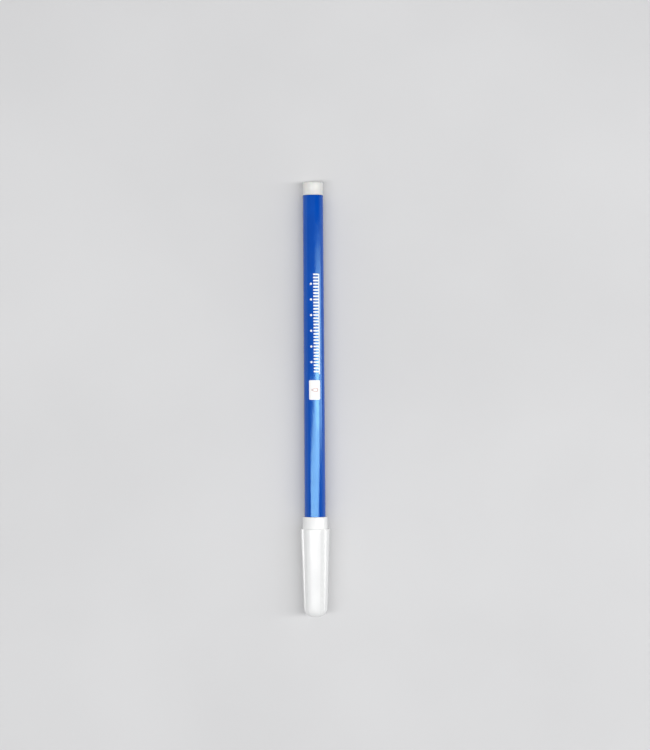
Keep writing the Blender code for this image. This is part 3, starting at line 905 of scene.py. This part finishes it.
def wrap_art(flat, material, sink=FILM_SINK):
    """Flat art as a film round the barrel. sink is how far its underside lies below the surface."""
    values = {"Film": FILM, "Sink": sink, "Rear station": barrel_rear, "Rear radius": rear_radius}
    values.update({"Front station": nose_start, "Front radius": barrel_radius, "Finish": material})
    return run_tree(wrapping, flat, values)


# %% [markdown]
# Ink spreads a little before it dries, so nothing in a print has a sharp corner. `rounded_plate` is a
# small grid whose corner cells are squeezed onto an arc. It is also cut fine enough to bend round the
# barrel.


# %% Flat art
def rounded_plate(left, right, front, rear, corner, corner_steps=4, longest=0.3 * MM):
    """A flat grid with rounded corners. Between them, no cell's side is longer than longest."""
    lines = []
    for low, high in ((left, right), (front, rear)):
        middle_steps = max(1, math.ceil((high - low - 2 * corner) / longest))
        insets = [corner * i / corner_steps for i in range(corner_steps)]
        middle = np.linspace(low + corner, high - corner, middle_steps + 1)
        lines.append([low + inset for inset in insets] + list(middle))
        lines[-1] += [high - inset for inset in reversed(insets)]
    bm = bmesh.new()
    grid = [[bm.verts.new((x, y, 0)) for x in lines[0]] for y in lines[1]]
    for near, far in zip(grid, grid[1:]):
        for i in range(len(near) - 1):
            bm.faces.new((near[i], near[i + 1], far[i + 1], far[i]))
    for vert in bm.verts:
        centre = Vector((
            min(max(vert.co.x, left + corner), right - corner),
            min(max(vert.co.y, front + corner), rear - corner),
            0,
        ))
        reach = vert.co - centre
        if reach.x and reach.y:
            vert.co = centre + reach * max(abs(reach.x), abs(reach.y)) / reach.length
    mesh = bpy.data.meshes.new("plate")
    bm.to_mesh(mesh)
    bm.free()
    return mesh


def helper_object(name, data):
    """An object that is not a piece of the pen: a stroke to repeat, the floor, a light or the camera."""
    made = bpy.data.objects.new(name, data)
    bpy.context.scene.collection.objects.link(made)
    return made


# %% [markdown]
# A blanket stitch is a line along an edge with a bar across it at each stitch. The tree sets points
# along the row and puts a bar on each, with a dash of the edge line between each two. At every fifth
# stitch it also puts a knot beyond the bar. The three strokes come to the tree as objects.


# %% The tree that repeats the stitches
def stitching_tree():
    inputs = (
        ("Stitches", "Int"),
        ("Pitch", "Float"),
        ("Row start", "Vector"),
        ("Knot every", "Int"),
        ("First knot", "Int"),
        ("Bar", "Object"),
        ("Dash", "Object"),
        ("Knot", "Object"),
        ("Finish", "Material"),
    )
    tree, given = geometry_tree("stitch_row", inputs)
    backwards = add_node(tree, "ShaderNodeCombineXYZ", {"Y": maths(tree, "MULTIPLY", given["Pitch"], -1.0)})
    feeds = {"Count": given["Stitches"], "Start Location": given["Row start"]}
    feeds["Offset"] = backwards.outputs[0]
    row = add_node(tree, "GeometryNodeMeshLine", feeds, mode="OFFSET").outputs[0]
    index = add_node(tree, "GeometryNodeInputIndex").outputs[0]
    counted = maths(tree, "MODULO", index, given["Knot every"])
    knotted = maths(tree, "COMPARE", counted, given["First knot"], 0.1)
    joined = tree.nodes.new("GeometryNodeJoinGeometry")
    for name, chosen in (("Bar", {}), ("Dash", {}), ("Knot", {"Selection": knotted})):
        stroke = add_node(tree, "GeometryNodeObjectInfo", {"Object": given[name]}).outputs["Geometry"]
        feeds = {"Points": row, "Instance": stroke, **chosen}
        placed = add_node(tree, "GeometryNodeInstanceOnPoints", feeds)
        tree.links.new(placed.outputs[0], joined.inputs[0])
    end_tree(tree, joined.outputs[0], given["Finish"])
    return tree


stitching = stitching_tree()
print("stitching tree:", len(stitching.nodes), "nodes")

# %% [markdown]
# The row runs beside the top of the barrel, with its edge line on the right and its knots on the left.
# The strokes are kept a hair apart, because two plates that shared a corner would not make a closed
# film. The helper objects that hold the strokes are removed as soon as the tree has read them.

# %% Stitch row
PRINT_MIDDLE = 28.1 * MM  # station of the middle of the row
STITCH_PITCH = 1.15 * MM
STITCH_COUNT = 32
BAR_WIDTH = 0.58 * MM
BAR_LENGTH = 2.15 * MM
LINE_WIDTH = 0.4 * MM
EDGE_LINE = 2.05 * MM  # how far round from the top the edge line runs
KNOT_WIDTH = 0.8 * MM
STROKE_CORNER = 0.13 * MM
STROKE_GAP = 0.03 * MM
half_bar = BAR_WIDTH / 2
half_line = LINE_WIDTH / 2
dash_front = 0.14 * MM - STITCH_PITCH
dash_rear = half_bar - 0.1 * MM
knot_right = -BAR_LENGTH - 0.45 * MM
strokes = {
    "Bar": rounded_plate(-BAR_LENGTH, -half_line - STROKE_GAP, -half_bar, half_bar, STROKE_CORNER, 3),
    "Dash": rounded_plate(-half_line, half_line, dash_front, dash_rear, STROKE_CORNER, 3),
    "Knot": rounded_plate(
        knot_right - KNOT_WIDTH, knot_right, -KNOT_WIDTH / 2, KNOT_WIDTH / 2, KNOT_WIDTH * 0.49, 4
    ),
}
helpers = {name: helper_object(name, mesh) for name, mesh in strokes.items()}
row_start = (EDGE_LINE, PRINT_MIDDLE + STITCH_PITCH * (STITCH_COUNT - 1) / 2, 0.0)
values = {"Stitches": STITCH_COUNT, "Pitch": STITCH_PITCH, "Row start": row_start, "Knot every": 5}
values.update({"First knot": 3, "Finish": ink_finish}, **helpers)
flat_row = run_tree(stitching, points_mesh([]), values)
for helper in helpers.values():
    bpy.data.objects.remove(helper)
piece("stitch_print", "pen", [wrap_art(flat_row, ink_finish)])

# %% [markdown]
# The badge is a plain white plate with rounded corners, in line with the stitches. It is the same flat
# grid as a stroke of theirs, only larger, and it is cut finer, because it bends round more of the barrel.

# %% Badge
BADGE_LEFT = -1.95 * MM
BADGE_RIGHT = 2.3 * MM
BADGE_FRONT = -0.1 * MM
BADGE_REAR = 7.1 * MM
BADGE_CORNER = 0.5 * MM
badge_flat = rounded_plate(BADGE_LEFT, BADGE_RIGHT, BADGE_FRONT, BADGE_REAR, BADGE_CORNER, 6, 0.25 * MM)
piece("badge_print", "pen", [wrap_art(badge_flat, ink_finish)])

# %% [markdown]
# The drop on the badge is a thin second colour printed over the first, so it starts just under the
# badge's surface. Its outline is a teardrop curve: x = sin t * sin(t / 2) ** 1.6, y = cos t. Two of
# them, one a line's width inside the other, make the ring.


# %% Water drop
def drop_art(centre, length, width, line, steps=56):
    """A flat ring in the shape of a drop whose point is to the left."""
    bm = bmesh.new()
    loops = []
    for shrink in (0.0, line):
        loop = []
        for i in range(steps):
            t = FULL_TURN * i / steps
            side = math.sin(t) * abs(math.sin(t / 2)) ** 1.6 * (width / 2 - shrink) * 1.15
            reach = -math.cos(t) * (length / 2 - shrink * 1.5) + shrink * 0.4
            loop.append(bm.verts.new((centre[0] + reach, centre[1] + side, 0)))
        loops.append(loop)
    for i in range(steps):
        j = (i + 1) % steps
        bm.faces.new((loops[0][i], loops[1][i], loops[1][j], loops[0][j]))
    bmesh.ops.recalc_face_normals(bm, faces=bm.faces)
    if bm.faces[0].normal.z < 0:
        bmesh.ops.reverse_faces(bm, faces=bm.faces)
    mesh = bpy.data.meshes.new("drop")
    bm.to_mesh(mesh)
    bm.free()
    return mesh


badge_middle = (BADGE_FRONT + BADGE_REAR) / 2
drop_flat = drop_art((0.1 * MM, badge_middle), 2.7 * MM, 1.9 * MM, 0.26 * MM)
DROP_RISE = 0.012 * MM  # how far above the barrel the second colour starts
piece("drop_print", "pen", [wrap_art(drop_flat, droplet_finish, sink=-DROP_RISE)])

# %% [markdown]
# ## Floor, light and camera
#
# The pen lies on a pale floor. Its cap is thicker than its rear, so it rests on the cap's shoulder and
# on the plug's edge, and it is the floor that is tilted here, by less than a degree, because the pen
# keeps the engineering model's frame.

# %% Floor
FLOOR_HALF = 2.5
FLOOR_GAP = 0.01 * MM
front_touch = Vector((0, cap_step - PANEL_EDGE, -panel_radius - FLOOR_GAP))
rear_touch = Vector((0, plug_end - PLUG_EDGE, -plug_radius - FLOOR_GAP))
slope = (rear_touch.z - front_touch.z) / (rear_touch.y - front_touch.y)
floor_mesh = bpy.data.meshes.new("floor")
floor_corners = []
for x, y in ((-1, -1), (1, -1), (1, 1), (-1, 1)):
    rise = front_touch.z + slope * (y * FLOOR_HALF - front_touch.y)
    floor_corners.append((x * FLOOR_HALF, y * FLOOR_HALF, rise))
floor_mesh.from_pydata(floor_corners, [], [(0, 1, 2, 3)])
floor = helper_object("floor", floor_mesh)
floor_finish, tree, shader = finish("pale_floor")
paper = ramp(tree, noise(tree, 9), 0.3, 0.7, 0.0, 1.0)
floor_colour = blend(tree, paper, (0.60, 0.60, 0.605), (0.635, 0.635, 0.64))
floor_grain = ramp(tree, noise(tree, 900), 0.3, 0.7, 0.55, 0.65)
dress(tree, shader, floor_colour, floor_grain, bumps(tree, (noise(tree, 1500), 8e-6)))
floor_mesh.materials.append(floor_finish)
floor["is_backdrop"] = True
print(f"floor tilted by {math.degrees(math.atan(slope)):.2f} degrees")

# %% [markdown]
# Glossy plastic shows its surroundings more than its own shape, so the light is built from what the
# barrel should reflect: a narrow strip along its right and a broad soft panel over the cap's half, set
# a little askew, so that its reflection widens along the barrel. A very soft sun from the left opens
# the shadows and lights the floor evenly far beyond the pen.


# %% Light
def softbox(name, place, aim, width, length, brightness, askew=0.0):
    """An area light at a place, facing a point. brightness is for each part of it, whatever its size."""
    light = bpy.data.lights.new(name, "AREA")
    light.shape = "RECTANGLE"
    light.size = width
    light.size_y = length
    light.energy = brightness * math.pi * width * length
    made = helper_object(name, light)
    made.location = place
    facing = (Vector(aim) - Vector(place)).to_track_quat("-Z", "Y")
    made.rotation_euler = (facing @ Quaternion((0, 0, 1), math.radians(askew))).to_euler()
    made.visible_camera = False
    return made


softbox("strip_right", (1.7, 0.05, 1.0), (0, 0.05, 0), width=0.25, length=4.0, brightness=5.6)
softbox(
    "panel_over_cap",
    (0.35, -0.115, 1.6),
    (0.35, -0.115, 0),
    width=4.0,
    length=0.25,
    brightness=10.0,
    askew=3.7,
)
even_light = bpy.data.lights.new("even_light", "SUN")
even_light.energy = 0.85
even_light.angle = math.radians(140)
helper_object("even_light", even_light).rotation_euler = (math.radians(-12), math.radians(-50), 0)
print(len(bpy.data.lights), "lights")

# %% [markdown]
# The world lights the rest. It is pale at the horizon and darker overhead: the upper side of the barrel
# reflects the dark part, which keeps the blue deep. How far up a ray of light points picks the colour.

# %% Sky
world = bpy.data.worlds.new("pale_studio")
bpy.context.scene.world = world
world.use_nodes = True
sky = world.node_tree
direction = add_node(sky, "ShaderNodeTexCoord").outputs["Generated"]
up = add_node(sky, "ShaderNodeSeparateXYZ", {0: direction}).outputs["Z"]
zenith = ramp(sky, up, 0.03, 0.5, 0.0, 1.0)
sky_colour = blend(sky, zenith, (0.62, 0.63, 0.64), (0.05, 0.05, 0.055))
sky.links.new(sky_colour, sky.nodes["Background"].inputs["Color"])
print(world.name, "made of", len(sky.nodes), "nodes")

# %% [markdown]
# The camera looks straight down on the pen from about three quarters of a metre, a long way off for so
# small a thing, so there is almost no perspective. The pen stands left of the middle and leans a
# little.

# %% Camera
VIEW_HEIGHT = 276.5 * MM  # what the picture's long side covers at the pen
LENS = 100.0
SENSOR = 36.0
camera_data = bpy.data.cameras.new("camera")
camera_data.lens = LENS
camera_data.sensor_width = SENSOR
camera = helper_object("camera", camera_data)
camera.location = (4.0 * MM, 8.96 * MM, VIEW_HEIGHT * LENS / SENSOR)
camera.rotation_euler = (0, 0, math.radians(-0.396))
bpy.context.scene.camera = camera
bpy.context.scene.view_settings.view_transform = "Standard"
print(f"camera {camera.location.z:.3f} m above the pen")

# %% Sizes and the final check
new_low, new_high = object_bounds()
beyond = [*(cad_low - new_low), *(new_high - cad_high)]
print("outside the engineering box by, mm:", [round(value / MM, 4) for value in beyond])
